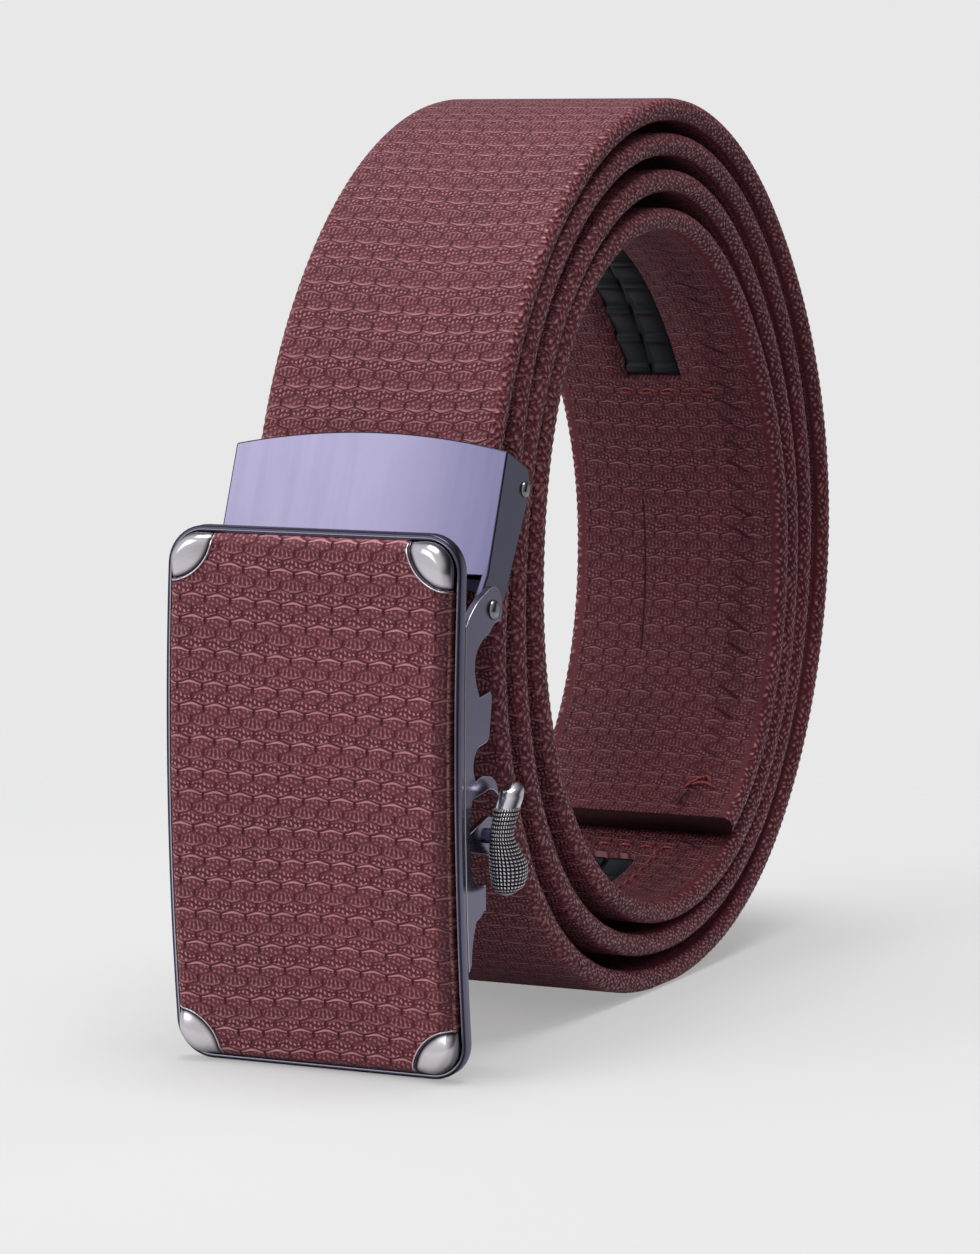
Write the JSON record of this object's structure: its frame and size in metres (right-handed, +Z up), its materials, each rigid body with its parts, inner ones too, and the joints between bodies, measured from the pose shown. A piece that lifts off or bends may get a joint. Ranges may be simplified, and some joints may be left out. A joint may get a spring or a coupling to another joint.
{
  "type": "ratchet belt with automatic buckle",
  "caption": "Rolled-up embossed leather ratchet belt with a toothed track inside and an automatic buckle: metal clamp, leather-faced plate with metal corners, sprung pawl and knurled lever.",
  "frame": {"origin": "centre of the bounding box in X and Y, at the height of the surface it stands on", "axes": "+X across the strap towards the release lever, -Y towards the front of the buckle, +Z up"},
  "size_m": [0.0472, 0.1522, 0.1282],
  "materials": {
    "strap_leather": "satin, embossed",
    "panel_leather": "satin, embossed",
    "track_plastic": "semi-matte",
    "gunmetal": "polished, dark violet-grey plating",
    "silver_metal": "satin silver plating"
  },
  "bodies": {
    "belt": {"strap": "strap_leather", "ratchet_track": "track_plastic", "clamp_cover": "gunmetal", "clamp_jaw": "gunmetal", "jaw_pin": "silver_metal"},
    "buckle": {"buckle_frame": "gunmetal", "face_tray": "gunmetal", "face_leather": "panel_leather", "corner_cap_top_left": "silver_metal", "corner_cap_top_right": "silver_metal", "corner_cap_bottom_left": "silver_metal", "corner_cap_bottom_right": "silver_metal", "hinge_rivet_right": "silver_metal", "hinge_rivet_left": "silver_metal"},
    "release": {"pawl": "gunmetal", "release_lever": "silver_metal"}
  },
  "joints": [
    {"name": "buckle_swing", "type": "hinge", "parent": "belt", "child": "buckle", "pos_m": [-0.00196, -0.06391, 0.06056], "axis": [1, 0, 0], "range_deg": [-50, 22]},
    {"name": "lever_release", "type": "hinge", "parent": "buckle", "child": "release", "pos_m": [-0.00196, -0.06475, 0.0313], "axis": [1, 0, 0], "range_deg": [-18, 0], "stiffness_Nm_per_rad": 0.04, "springref_deg": 8.59}
  ]
}
